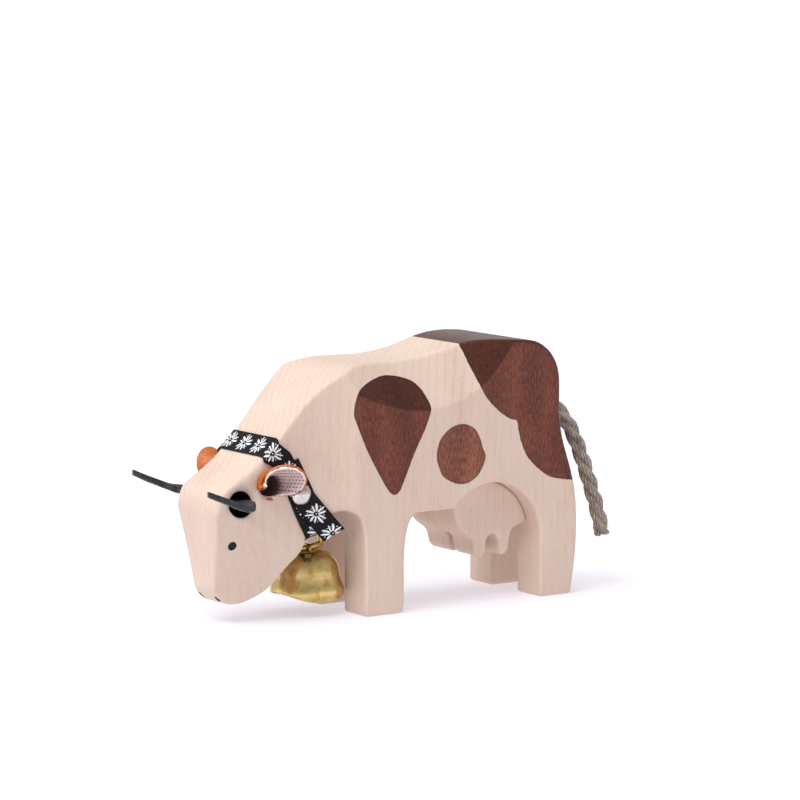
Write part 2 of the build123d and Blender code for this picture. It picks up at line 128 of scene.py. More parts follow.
def edit_all(piece, operator, **settings):
    """Runs an edit mode operator on the whole mesh of a piece."""
    select_only(piece)
    bpy.ops.object.mode_set(mode="EDIT")
    bpy.ops.mesh.select_all(action="SELECT")
    operator(**settings)
    bpy.ops.object.mode_set(mode="OBJECT")


def modify(piece, name, kind, **settings):
    """Puts a modifier on a piece and applies it."""
    select_only(piece)
    modifier = piece.modifiers.new(name, kind)
    for key, value in settings.items():
        setattr(modifier, key, value)
    bpy.ops.object.modifier_apply(modifier=modifier.name)


def link_object(name, data):
    made = bpy.data.objects.new(name, data)
    bpy.context.scene.collection.objects.link(made)
    return made


def copy_of(node, name):
    """A merged copy of a CAD node's mesh, ready to be worked on."""
    piece = link_object(name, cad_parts[node].data.copy())
    piece.data.materials.clear()
    edit_all(piece, bpy.ops.mesh.remove_doubles, threshold=0.002 * MM)
    return piece


def sand(piece, voxel, passes, rounding=0.0):
    """Gives a piece an even mesh and rubs its edges down, as sandpaper does. With a rounding, in millimetres, the
    mesh is laid on a copy of the piece with bevelled edges."""
    if rounding:
        edit_all(piece, bpy.ops.mesh.dissolve_limited, angle_limit=math.radians(0.5))
        modify(
            piece, "sawn edges", "BEVEL", width=rounding * MM, segments=4, angle_limit=math.radians(35),
            use_clamp_overlap=False,
        )
        form = link_object("form", piece.data.copy())
    modify(piece, "voxels", "REMESH", mode="VOXEL", voxel_size=voxel * MM)
    if rounding:
        modify(piece, "lay on", "SHRINKWRAP", target=form, wrap_method="NEAREST_SURFACEPOINT")
        bpy.data.meshes.remove(form.data)
    modify(piece, "sanding", "SMOOTH", factor=0.5, iterations=passes)
    bpy.ops.object.shade_smooth()


def rub(piece, name, weights, passes):
    """Smooths a piece by weights, one for each vertex."""
    group = piece.vertex_groups.new(name=name)
    for index in np.nonzero(weights)[0]:
        group.add([int(index)], float(weights[index]), "REPLACE")
    modify(piece, name, "SMOOTH", factor=0.5, iterations=passes, vertex_group=group.name)
    piece.vertex_groups.clear()


def map_uvs(mesh, uvs):
    """A UV map from a pair for each vertex."""
    layer = mesh.uv_layers.new(name="UVMap")
    for loop in mesh.loops:
        layer.data[loop.index].uv = uvs[loop.vertex_index]


def mesh_piece(name, points, faces, uvs):
    """A mesh object from points in millimetres, with a UV pair for each point."""
    mesh = bpy.data.meshes.new(name)
    mesh.from_pydata([tuple(value * MM for value in point) for point in points], [], faces)
    map_uvs(mesh, uvs)
    mesh.update()
    return link_object(name, mesh)


def vertex_array(piece, kind):
    """The places (co) or normals of a piece's vertices, as an array."""
    flat = np.zeros(len(piece.data.vertices) * 3)
    piece.data.vertices.foreach_get(kind, flat)
    return flat.reshape(-1, 3)


def points_of(piece):
    """The vertex places of a piece, in millimetres."""
    return vertex_array(piece, "co") / MM


def put_points(piece, points):
    """Moves the vertices of a piece to places in millimetres."""
    piece.data.vertices.foreach_set("co", (points * MM).ravel())
    piece.data.update()


def mark(piece, name, values):
    """Gives each vertex a value that a material reads."""
    layer = piece.data.attributes.new(name, "FLOAT", "POINT")
    layer.data.foreach_set("value", np.asarray(values, np.float32))


def finish_piece(piece, body, nodes, material):
    piece.data.materials.append(material)
    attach(piece, body)
    if nodes:
        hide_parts(*nodes)


def progress(value, start, end):
    """How far a value has come on its way from start to end, from 0 to 1."""
    return np.clip((value - start) / (end - start), 0, 1)


def flank(x):
    """Half width of the wood at x: head, hollow flare of the neck, trunk."""
    if x >= FLARE_END_X:
        return HALF_BOARD
    run = max(0.0, x - FLARE_START_X)
    depth = HALF_BOARD - HALF_HEAD
    radius = ((FLARE_END_X - FLARE_START_X) ** 2 + depth**2) / (2 * depth)
    return HALF_HEAD + radius - math.sqrt(radius**2 - run**2)


def smooth_outline(points, closed):
    """A Catmull-Rom curve through points of the side view."""
    steps = 8
    points = [np.array(point, float) for point in points]
    if closed:
        points = [points[-1], *points, points[0], points[1]]
    else:
        points = [2 * points[0] - points[1], *points, 2 * points[-1] - points[-2]]
    curve = []
    for a, b, c, d in zip(points, points[1:], points[2:], points[3:]):
        for step in range(steps):
            t = step / steps
            bend = (2 * a - 5 * b + 4 * c - d) * t**2
            curve.append(0.5 * (2 * b + (c - a) * t + bend + (3 * b - a - 3 * c + d) * t**3))
    if not closed:
        curve.append(points[-2])
    return np.array(curve)


def from_segment(x, z, start, end):
    """Squared distances of side view points from the line between two points."""
    (ax, az), (bx, bz) = start, end
    ex, ez = bx - ax, bz - az
    share = np.clip(((x - ax) * ex + (z - az) * ez) / max(ex**2 + ez**2, 1e-9), 0, 1)
    return (x - ax - share * ex) ** 2 + (z - az - share * ez) ** 2


def signed_distance(x, z, outline):
    """Distance of side view points to a closed outline, positive inside, in millimetres."""
    best = np.full(len(x), 1e9)
    inside = np.zeros(len(x), bool)
    for (ax, az), (bx, bz) in zip(outline, np.roll(outline, -1, axis=0)):
        best = np.minimum(best, from_segment(x, z, (ax, az), (bx, bz)))
        crosses = (az > z) != (bz > z)
        inside ^= crosses & (x < ax + (z - az) * (bx - ax) / (bz - az if bz != az else 1e-9))
    return np.where(inside, 1, -1) * np.sqrt(best)


# Wood. The outlines of the stained patches lie in the plane of the board's left face, as the camera sees them, so
# that the parts on the scooped flank run on from those on the flat. A point's place there is worked out from the
# slant and the drop of the line of sight, for each millimetre inward.

CAMERA_SLANT = 0.673
CAMERA_DROP = 0.1494
SHOULDER_PATCH = [
    (-1.2, 90.5), (-8.0, 90.4), (-16.0, 86.0), (-18.7, 78.0), (-17.4, 73.4), (-12.5, 62.5), (-7.1, 53.1),
    (-3.5, 47.5), (-0.8, 45.4), (1.9, 46.7), (4.6, 52.1), (8.7, 60.9), (12.8, 68.2), (15.5, 74.4), (16.0, 77.1),
    (14.6, 80.2), (11.0, 85.0), (6.4, 88.3),
]
FLANK_SPOT = [
    (30.6, 69.9), (24.7, 68.6), (20.1, 64.2), (18.7, 58.2), (20.1, 53.2), (22.4, 49.9), (28.4, 47.2), (33.9, 47.5),
    (38.6, 50.9), (41.1, 56.5), (39.9, 60.0), (38.5, 64.0), (35.7, 68.0),
]
RUMP_EDGE_UPPER = [
    (29.0, 99.9), (30.6, 97.7), (33.8, 91.8), (38.5, 84.1), (40.8, 80.3), (43.1, 77.6), (47.8, 73.3), (52.5, 70.4),
    (55.3, 69.7), (56.0, 68.8),
]
RUMP_EDGE_LOWER = [
    (56.0, 68.8), (56.7, 64.9), (57.7, 61.4), (59.6, 57.0), (62.0, 53.7), (66.7, 49.5), (71.5, 46.6), (76.3, 45.4),
    (83.0, 44.4), (90.0, 44.0),
]
RUMP_CORNERS = [(130.0, 44.0), (130.0, 130.0), (29.0, 130.0)]
# Where the top and the rear face begin, and where the rump's patch ends on each
TOP_FROM_Z = 85
RUMP_TOP_X = 34.2
REAR_FROM_X = 70
RUMP_REAR_Z = 44.4

EYE_RADIUS = 1.7
HORN_HOLE_RADIUS = 5.0
EAR_HOLE_RADIUS = 4.5
# The y of each nostril, and the ends of its slit in the side view
NOSTRILS = ((-6.0, (-69.8, 10.5), (-67.2, 8.8)), (5.0, (-68.4, 10.1), (-66.4, 8.4)))
NOSTRIL_RADIUS = 0.95
NO_INK = -9

# Where the extra rubbing of the forehead's edges begins and where it is full
BROW_X = (-52, -56)
BROW_Y = (8, 12)
BROW_Z = (43, 48)
BROW_PASSES = 120

# A wave texture with scale 1 repeats after this length
WAVE_LENGTH = 0.314


def stain_depth(points, normals):
    """How far each point of the body lies inside the nearest stained patch, in millimetres."""
    x, y, z = points.T
    inward = HALF_BOARD - np.abs(y)
    seen_x = x - CAMERA_SLANT * inward
    seen_z = z + CAMERA_DROP * inward
    upper = smooth_outline(RUMP_EDGE_UPPER, False)[:-1]
    rump = np.vstack([upper, smooth_outline(RUMP_EDGE_LOWER, False), RUMP_CORNERS])
    depth = signed_distance(seen_x, seen_z, rump)
    for patch in (SHOULDER_PATCH, FLANK_SPOT):
        depth = np.maximum(depth, signed_distance(seen_x, seen_z, smooth_outline(patch, True)))
    on_top = (normals[:, 2] > 0.8) & (z > TOP_FROM_Z)
    behind = (x > REAR_FROM_X) & (normals[:, 0] > 0.5)
    return np.where(behind, z - RUMP_REAR_Z, np.where(on_top, x - RUMP_TOP_X, depth))


def limewood(name, stained):
    """Limewood, sawn from one board and sanded: pale, dense and matt. Its grain stands upright, so the sides
    show fine upright lines and the top shows arcs of end grain. Water stain colours the patches."""
    material, node, shader = start_material(name)
    place = node("TexCoord", output="Object")
    slow = node("Mapping", {"Vector": place, "Scale": (30.0, 30.0, 11.0)})
    wobble = node("TexNoise", {"Vector": slow, "Scale": 1.0, "Detail": 1.0}, output="Color")
    bent = node("VectorMath", (wobble, (0.007, 0.007, 0.0)), "MULTIPLY")
    moved = node("VectorMath", (place, bent), "ADD")
    heart = node("Mapping", {"Vector": moved, "Location": (0.26, -0.25, 0.0)})
    # A year's growth is about 3 mm
    scale = WAVE_LENGTH / 0.003
    rings = node(
        "TexWave", {"Vector": heart, "Scale": scale, "Distortion": 0.9, "Detail": 1.0, "Detail Scale": 0.5},
        output="Fac", wave_type="RINGS", rings_direction="Z", wave_profile="SAW",
    )
    late_wood = node("ValToRGB", (rings,), stops=[(0.0, 0.15), (0.55, 0.0), (0.90, 0.75), (1.0, 1.0)])
    # Fibres about 0.6 mm apart, drawn coarser than real ones so that they show
    fibre_place = node("Mapping", {"Vector": moved, "Scale": (1700.0, 1700.0, 190.0)})
    fibres = node("TexNoise", {"Vector": fibre_place, "Scale": 1.0, "Detail": 3.0, "Roughness": 0.6})
    cloud_place = node("Mapping", {"Vector": place, "Scale": (60.0, 60.0, 18.0)})
    clouds = node("TexNoise", {"Vector": cloud_place, "Scale": 1.0, "Detail": 2.0})
    end_grain = node("Attribute", output="Fac", attribute_name="end_grain")
    ring_weight = node("MapRange", {"Value": end_grain, "To Min": 0.07, "To Max": 0.14})
    ring_part = node("Math", (late_wood, ring_weight), "MULTIPLY")
    fibre_part = node("Math", (fibres, 0.55, ring_part), "MULTIPLY_ADD")
    tone = node("Math", (clouds, 0.55, fibre_part), "MULTIPLY_ADD")
    colour = node("ValToRGB", (tone,), stops=[(0.38, "#E1CBBA"), (0.62, "#DAC2B0"), (1.0, "#C4A18A")])
    roughness = 0.60
    if stained:
        # Flecks of 0.5 to 3 mm, where fibres took up more or less stain
        fleck_place = node("Mapping", {"Vector": place, "Scale": (1500.0, 1500.0, 420.0)})
        flecks = node("TexNoise", {"Vector": fleck_place, "Scale": 1.0, "Detail": 3.0, "Roughness": 0.65})
        soak = node("Math", (clouds, 0.6, flecks), "MULTIPLY_ADD")
        # Brown on the sides, darker in the end grain, and thinner on the flank's spot
        brown, dark, weak = (
            node("ValToRGB", (soak,), stops=stops)
            for stops in (
                [(0.62, "#86492F"), (0.80, "#693322"), (0.98, "#4B2014")],
                [(0.60, "#5A2F22"), (0.98, "#3A1A12")],
                [(0.62, "#A8694C"), (0.80, "#875039"), (0.98, "#653525")],
            )
        )
        wash, depth, ink = (
            node("Attribute", output="Fac", attribute_name=word) for word in ("wash", "stain", "ink")
        )
        soaked = node("Mix", {"Factor": end_grain, "A": brown, "B": dark})
        soaked = node("Mix", {"Factor": wash, "A": soaked, "B": weak})
        bleed = node("Math", (fibres, 0.45, depth), "MULTIPLY_ADD")
        # The stain pools along its edge, where a knife cut stops it
        pool = node("ValToRGB", (bleed,), stops=[(0.0, 0.62), (0.45, 0.70), (0.95, 1.0)])
        pooled = node("Mix", {"Factor": 1.0, "A": soaked, "B": pool}, blend_type="MULTIPLY")
        edge = node("MapRange", {"Value": bleed, "From Min": 0.06, "From Max": 0.34})
        colour = node("Mix", {"Factor": edge, "A": colour, "B": pooled})
        # Black paint of eyes and nostrils, the blackened horn hole, and painted shade in the ear holes
        black_marks_and_ear_hole_shade = node("MapRange", {"Value": ink, "From Min": -0.08, "From Max": 0.10})
        colour = node("Mix", {"Factor": black_marks_and_ear_hole_shade, "A": colour, "B": "#161416"})
        # Stain seals the wood, so that it shines a little
        roughness = node("MapRange", {"Value": edge, "To Min": roughness, "To Max": 0.34})
    bump = node("Bump", {"Height": fibre_part, "Strength": 0.2, "Distance": 0.00006})
    feed(shader, {"Base Color": colour, "Roughness": roughness, "Specular IOR Level": 0.3, "Normal": bump})
    return material


def paint_on_body(piece):
    """Values that place the stain, its darker end grain, the black of eyes, nostrils and horn hole, and the painted
    shade in the ear holes.
    """
    points = points_of(piece)
    normals = vertex_array(piece, "normal")
    x, y, z = points.T
    eyes = EYE_RADIUS - np.hypot(x - EYE[0], z - EYE[1])
    horn_hole = HORN_HOLE_RADIUS - np.hypot(x - HORN_HOLE[0], z - HORN_HOLE[1])
    # Painted shade: the holes of the ears are darkened as bare wood in shade, but not to full black
    ear_hole_shade = np.minimum(EAR_HOLE_RADIUS - np.hypot(x - EAR_HOLE[0], z - EAR_HOLE[1]), 0.05)
    # The ink value holds the black of eyes, nostrils and horn hole, and the painted shade of the ear holes
    ink = [
        np.where(np.abs(y) > HALF_HEAD / 2, eyes, NO_INK),
        horn_hole,
        np.where(np.abs(y) < HALF_HEAD - 0.7, ear_hole_shade, NO_INK),
    ]
    for side_y, start, end in NOSTRILS:
        ink.append(NOSTRIL_RADIUS - np.sqrt(from_segment(x, z, start, end) + (y - side_y) ** 2))
    mark(piece, "stain", np.clip(stain_depth(points, normals), -6, 6))
    mark(piece, "end_grain", progress(normals[:, 2], 0.08, 0.20))
    mark(piece, "ink", np.clip(np.maximum.reduce(ink), -3, 3))
    mark(piece, "wash", 0.8 * (signed_distance(x, z, smooth_outline(FLANK_SPOT, True)) > -3))


class CowLook(bpy.types.PropertyGroup):
    """Sizes and colours that a user may want to change."""

    voxel: FloatProperty(
        name="Wood detail", description="Voxel size of the sanded wood, in millimetres", default=0.75, min=0.4
    )
    sanding: IntProperty(name="Sanding", description="How often the wood is rubbed over", default=3, min=0, max=40)
    rounding: FloatProperty(
        name="Rounding", description="How far the sawn edges are rounded, in millimetres", default=0.9, min=0
    )
    rope_diameter: FloatProperty(name="Rope", description="Diameter of the tail rope, in millimetres", default=6.0)
    rope_pitch: FloatProperty(
        name="Rope lay", description="Length of one turn of a strand, in millimetres", default=24.0
    )
    ribbon_print: FloatVectorProperty(
        name="Ribbon print", description="Colour of the printed flowers", subtype="COLOR", size=4,
        default=linear("#EDEBEC"), min=0, max=1,
    )
    ribbon_ground: FloatVectorProperty(
        name="Ribbon", description="Colour of the ribbon's cloth", subtype="COLOR", size=4,
        default=linear("#0D0C0F"), min=0, max=1,
    )


class COW_OT_body(bpy.types.Operator):
    """Sand the sawn body and stain its patches"""

    bl_idname = "cow.body"
    bl_label = "Wooden body"

    def execute(self, context):
        look = context.scene.cow_look
        piece = copy_of("body", "cow_body")
        sand(piece, look.voxel, look.sanding, look.rounding)
        # The edges of the forehead are rubbed rounder than the others
        x, y, z = points_of(piece).T
        weights = progress(x, *BROW_X) * progress(z, *BROW_Z) * progress(np.abs(y), *BROW_Y)
        rub(piece, "brow", weights, BROW_PASSES)
        paint_on_body(piece)
        finish_piece(piece, "figurine", ["body"], limewood("stained limewood", True))
        return {"FINISHED"}


class COW_OT_udder(bpy.types.Operator):
    """Sand the glued udder"""

    bl_idname = "cow.udder"
    bl_label = "Udder"

    def execute(self, context):
        piece = copy_of("udder", "cow_udder")
        sand(piece, voxel=0.5, passes=8)
        finish_piece(piece, "figurine", ["udder"], limewood("bare limewood", False))
        return {"FINISHED"}


# Rope

# The route's points, as shares of the body's length, the board's thickness and the body's height from the exit
ROPE_SHARES = [
    (0.0, 0.0, 0.0), (0.054, 0.0, 0.0), (0.096, -0.055, -0.052), (0.122, -0.105, -0.128),
    (0.149, -0.13, -0.237), (0.174, -0.14, -0.355), (0.197, -0.145, -0.46), (0.210, -0.15, -0.55),
]
STRANDS = 3
# The radius of each of three round strands that just fit into a round rope, as a share of its radius
STRAND_SHARE = 0.4641
STRAND_SIDES = 40
YARNS = 9
# The yarns stand a little proud, and the strands are pressed into each other
PROUD = 1.04
PRESSED = 1.10
# Over these lengths at the cut end the strands part a little, and their rims are worn round
PARTED_LENGTH = 1.5
WORN_LENGTH = 0.7
# Loose fibres: the first ones stand all along the rope and the others near its cut end, and the last are long
LOOSE_FIBRES = 130
FIBRES_ALONG = 85
SHORT_FIBRES = 115


def rope_line():
    """Points along the rope's NURBS route, in millimetres."""
    curve = bpy.data.curves.new("rope route", "CURVE")
    curve.dimensions = "3D"
    curve.resolution_u = 24
    spline = curve.splines.new("NURBS")
    spline.points.add(len(ROPE_SHARES) - 1)
    for point, (x, y, z) in zip(spline.points, ROPE_SHARES):
        point.co = (
            (TAIL_EXIT[0] + x * BODY_LENGTH) * MM,
            (TAIL_EXIT[1] + y * 2 * HALF_BOARD) * MM,
            (TAIL_EXIT[2] + z * BODY_HEIGHT) * MM,
            1.0,
        )
    spline.order_u = 3
    spline.use_endpoint_u = True
    route = link_object("rope route", curve)
    bpy.context.view_layer.update()
    mesh = bpy.data.meshes.new_from_object(route.evaluated_get(bpy.context.evaluated_depsgraph_get()))
    line = [vertex.co / MM for vertex in mesh.vertices]
    bpy.data.curves.remove(curve)
    bpy.data.meshes.remove(mesh)
    return line


def even_frames(line, step):
    """Points spaced evenly along a line, each with its direction and two steady side directions."""
    lengths = [0.0]
    for a, b in zip(line, line[1:]):
        lengths.append(lengths[-1] + (b - a).length)
    count = round(lengths[-1] / step)
    frames = []
    place = 0
    side = Vector((0, 1, 0))
    for index in range(count + 1):
        along = lengths[-1] * index / count
        while place < len(line) - 2 and lengths[place + 1] < along:
            place += 1
        share = (along - lengths[place]) / (lengths[place + 1] - lengths[place])
        point = line[place].lerp(line[place + 1], share)
        ahead = line[min(place + 2, len(line) - 1)] - line[max(place - 1, 0)]
        ahead.normalize()
        side = (side - ahead * side.dot(ahead)).normalized()
        frames.append((along, point, ahead, side, ahead.cross(side)))
    return frames


def tube_faces(start, rows, sides):
    """The faces of a tube with closed ends, whose rows of points stand one after another from number start."""
    faces = []
    for row in range(rows - 1):
        for corner in range(sides):
            a = start + row * sides + corner
            b = start + row * sides + (corner + 1) % sides
            faces.append((a, b, b + sides, a + sides))
    last = start + (rows - 1) * sides
    return [*faces, tuple(range(start, start + sides))[::-1], tuple(range(last, last + sides))]


def hemp_rope():
    """Hemp, combed, spun and laid in three strands: dull grey-brown, with fibres that catch the light."""
    material, node, shader = start_material("laid hemp")
    uv = node("UVMap", uv_map="UVMap")
    # U is turns round a strand, following its yarns, and V is millimetres along it
    turns, along, _ = node("SeparateXYZ", (uv,)).node.outputs
    around = node("Math", (turns, 2 * math.pi), "MULTIPLY")
    across = node("Math", (around,), "COSINE")
    through = node("Math", (around,), "SINE")
    fibre_place = node("CombineXYZ", (across, through, along))
    stretched = node("Mapping", {"Vector": fibre_place, "Scale": (7.5, 7.5, 0.42)})
    fibres = node("TexNoise", {"Vector": stretched, "Scale": 1.0, "Detail": 4.0, "Roughness": 0.75})
    low = node("Attribute", output="Fac", attribute_name="valley_shade")
    place = node("TexCoord", output="Object")
    patches = node("TexNoise", {"Vector": place, "Scale": 260.0, "Detail": 2.0})
    mixed = node("Math", (patches, 0.3, fibres), "MULTIPLY_ADD")
    # Painted shade: the hemp is darker in the valleys between the yarns
    tone = node("Math", (low, -0.26, mixed), "MULTIPLY_ADD")
    colour = node(
        "ValToRGB", (tone,),
        stops=[(0.34, "#4A3F37"), (0.52, "#958678"), (0.66, "#BBAC9E"), (0.84, "#EADFD4")],
    )
    bump = node("Bump", {"Height": fibres, "Strength": 0.9, "Distance": 0.0004})
    feed(shader, {"Base Color": colour, "Roughness": 0.85, "Normal": bump})
    return material


class COW_OT_tail(bpy.types.Operator):
    """Lay the tail rope from three strands, with loose fibres"""

    bl_idname = "cow.tail"
    bl_label = "Tail rope"

    def execute(self, context):
        look = context.scene.cow_look
        radius = look.rope_diameter / 2 * PROUD
        strand = radius * STRAND_SHARE * PRESSED
        offset = radius - strand
        lay = 2 * math.pi / look.rope_pitch
        # The yarns are spun the other way, so that they run along the rope
        spin = lay * radius / strand
        line = rope_line()
        frames = even_frames(line, step=0.35)
        total = frames[-1][0]
        draw = random.Random(3)
        points = []
        uvs = []
        yarn_valley_shade = []
        faces = []
        for number in range(STRANDS):
            start = len(points)
            thickness = [draw.uniform(0.85, 1.15) for _ in range(YARNS)]
            for along, point, ahead, side, up in frames:
                turn = 2 * math.pi * number / STRANDS - along * lay
                out = side * math.cos(turn) + up * math.sin(turn)
                across = ahead.cross(out)
                left = total - along
                centre = point + out * offset * (1.0 + 0.08 * max(0.0, PARTED_LENGTH - left))
                end = 0.70 + 0.30 * math.sqrt(min(1.0, left / WORN_LENGTH))
                wave = 0.02 * math.sin(along * 1.3 + number * 2)
                for corner in range(STRAND_SIDES):
                    angle = 2 * math.pi * corner / STRAND_SIDES
                    spun = angle - spin * along
                    yarn = spun * YARNS / (2 * math.pi)
                    ridge = abs(math.cos(yarn * math.pi))
                    reach = strand * (0.93 + 0.11 * ridge * thickness[int(yarn) % YARNS] + wave) * end
                    points.append(centre + (out * math.cos(angle) + across * math.sin(angle)) * reach)
                    uvs.append((spun / (2 * math.pi), along))
                    yarn_valley_shade.append(1 - ridge)
            faces += tube_faces(start, len(frames), STRAND_SIDES)
        rope = mesh_piece("cow_tail_rope", points, faces, uvs)
        # The valley value places painted shade between the yarns
        mark(rope, "valley_shade", yarn_valley_shade)
        select_only(rope)
        bpy.ops.object.shade_smooth_by_angle(angle=math.radians(50))
        material = hemp_rope()
        fibres = self.loose_fibres(frames, radius)
        finish_piece(fibres, "figurine", [], material)
        finish_piece(rope, "figurine", ["tail_rope"], material)
        return {"FINISHED"}

    def loose_fibres(self, frames, radius):
        """Thin bent hairs that stand off the rope, more of them at its cut end."""
        draw = random.Random(7)
        points = []
        faces = []
        steps = 5
        for number in range(LOOSE_FIBRES):
            first = 0 if number < FIBRES_ALONG else len(frames) - 14
            _, point, ahead, side, up = frames[draw.randrange(first, len(frames) - 1)]
            turn = draw.uniform(0, 2 * math.pi)
            out = side * math.cos(turn) + up * math.sin(turn)
            across = ahead.cross(out)
            length = draw.uniform(1.0, 2.6) if number < SHORT_FIBRES else draw.uniform(2.5, 4.5)
            lean = draw.uniform(-0.9, 1.0)
            curl = draw.uniform(-0.9, 0.9)
            faces += tube_faces(len(points), steps + 1, 3)
            for step in range(steps + 1):
                share = step / steps
                lift = math.sin(share * 1.5) * 0.55
                centre = point + out * (radius * 0.86 + length * lift) + ahead * length * lean * share
                centre += across * curl * length * share**2
                thin = 0.06 * (1 - 0.6 * share)
                for corner in range(3):
                    angle = 2 * math.pi * corner / 3
                    points.append(centre + (ahead * math.cos(angle) + across * math.sin(angle)) * thin)
        return mesh_piece("cow_tail_fibres", points, faces, [(0.3, 0.1 * index) for index in range(len(points))])


# Ribbon. Each row is a front and a rear edge point of the side view, from the hidden end under the ear, down the
# left flank, under the throat, up the right flank, over the top and down the left flank again to the free end.

RIBBON_UNDER_LEFT = [
    ((-47.8, 57.3), (-38.6, 61.3)), ((-43.3, 48.0), (-34.1, 52.0)), ((-39.9, 39.9), (-30.7, 44.2)),
    ((-35.6, 30.9), (-26.8, 36.9)),
]
RIBBON_RIGHT = [
    ((-35.6, 30.9), (-26.8, 36.9)), ((-39.9, 39.9), (-31.4, 45.2)), ((-45.0, 50.0), (-37.0, 54.6)),
    ((-50.4, 58.8), (-42.8, 63.4)),
]
RIBBON_TOP = ((-53.3, 63.2), (-46.6, 69.3))
RIBBON_OVER_LEFT = [
    ((-49.8, 59.0), (-42.2, 63.8)), ((-46.6, 53.7), (-39.2, 58.4)), ((-43.4, 48.0), (-36.2, 53.0)),
    ((-40.2, 43.5), (-33.0, 48.4)), ((-34.9, 36.7), (-27.4, 41.4)), ((-29.2, 29.6), (-21.7, 34.2)),
]
THROAT_LOW = ((-31.7, 27.9), (-21.8, 29.4))
RING_Y = -3.0
RIBBON_POINTS = 9
ROW_STEP = 2.0
# How far the middle of the cloth lies off the wood: the inner layer, and the outer one over it
INNER_LIFT = 0.35
OUTER_LIFT = 1.0
# The turn over the edges of the brow
CORNER_RADIUS = 1.5
CORNER_SHARES = (0.0, 0.35, 0.7, 1.0)
FLOWER_STEP = 10.0
FLOWER_START = 8.6


def part_way(start, end, share):
    """The point at a share of the way from one point of the side view to another."""
    return tuple(a + share * (b - a) for a, b in zip(start, end))


def along_rows(rows):
    """Rows filled in evenly between the given ones."""
    filled = []
    for (front_a, rear_a), (front_b, rear_b) in zip(rows, rows[1:]):
        count = max(1, round(math.dist(front_a, front_b) / ROW_STEP))
        for number in range(count):
            share = number / count
            filled.append((part_way(front_a, front_b, share), part_way(rear_a, rear_b, share)))
    return [*filled, rows[-1]]


def ribbon_rows(top_of):
    """Rows of points along the whole ribbon, in millimetres; top_of gives the wood's height at x."""
    shares = [number / (RIBBON_POINTS - 1) for number in range(RIBBON_POINTS)]

    def flank_row(ends, sign, lift):
        places = [part_way(*ends, share) for share in shares]
        return [Vector((x, sign * (flank(x) + lift), z)) for x, z in places]

    def top_row(y, drop=0.0):
        places = [part_way(*RIBBON_TOP, share)[0] for share in shares]
        return [Vector((x - INNER_LIFT * 0.64, y, top_of(x) + INNER_LIFT * 0.77 - drop)) for x in places]

    def corner_row(sign, share):
        angle = share * math.pi / 2
        y = HALF_HEAD - CORNER_RADIUS + (CORNER_RADIUS + INNER_LIFT) * math.cos(angle)
        return top_row(sign * y, CORNER_RADIUS * (1 - math.sin(angle)) * 1.2)

    rows = [flank_row(ends, LEFT, INNER_LIFT) for ends in along_rows(RIBBON_UNDER_LEFT)]
    # Under the throat the ribbon sags to the ring's upper bar
    first = rows[-1]
    last = flank_row(RIBBON_RIGHT[0], RIGHT, INNER_LIFT)
    low = [Vector((x, RING_Y, z)) for x, z in (part_way(*THROAT_LOW, share) for share in shares)]
    for ends, steps in (((first, low), 8), ((low, last), 11)):
        for step in range(1, steps + 1):
            share = step / steps
            # Near the ring it runs square to it, and turns away farther out
            bend = share**1.6 if ends[0] is low else 1 - (1 - share) ** 1.6
            row = []
            for a, b in zip(*ends):
                point = a.lerp(b, share)
                point.x = a.x + bend * (b.x - a.x)
                point.z -= 0.5 * math.sin(math.pi * share)
                row.append(point)
            rows.append(row)
    rows += [flank_row(ends, RIGHT, INNER_LIFT) for ends in along_rows(RIBBON_RIGHT)[1:]]
    rows += [corner_row(RIGHT, share) for share in CORNER_SHARES]
    rows += [top_row((HALF_HEAD - CORNER_RADIUS) * (1 - number / 7)) for number in range(1, 14)]
    rows += [corner_row(LEFT, share) for share in reversed(CORNER_SHARES)]
    for number, ends in enumerate(along_rows(RIBBON_OVER_LEFT)):
        rows.append(flank_row(ends, LEFT, min(OUTER_LIFT, INNER_LIFT + 0.16 * (number + 1))))
    return rows


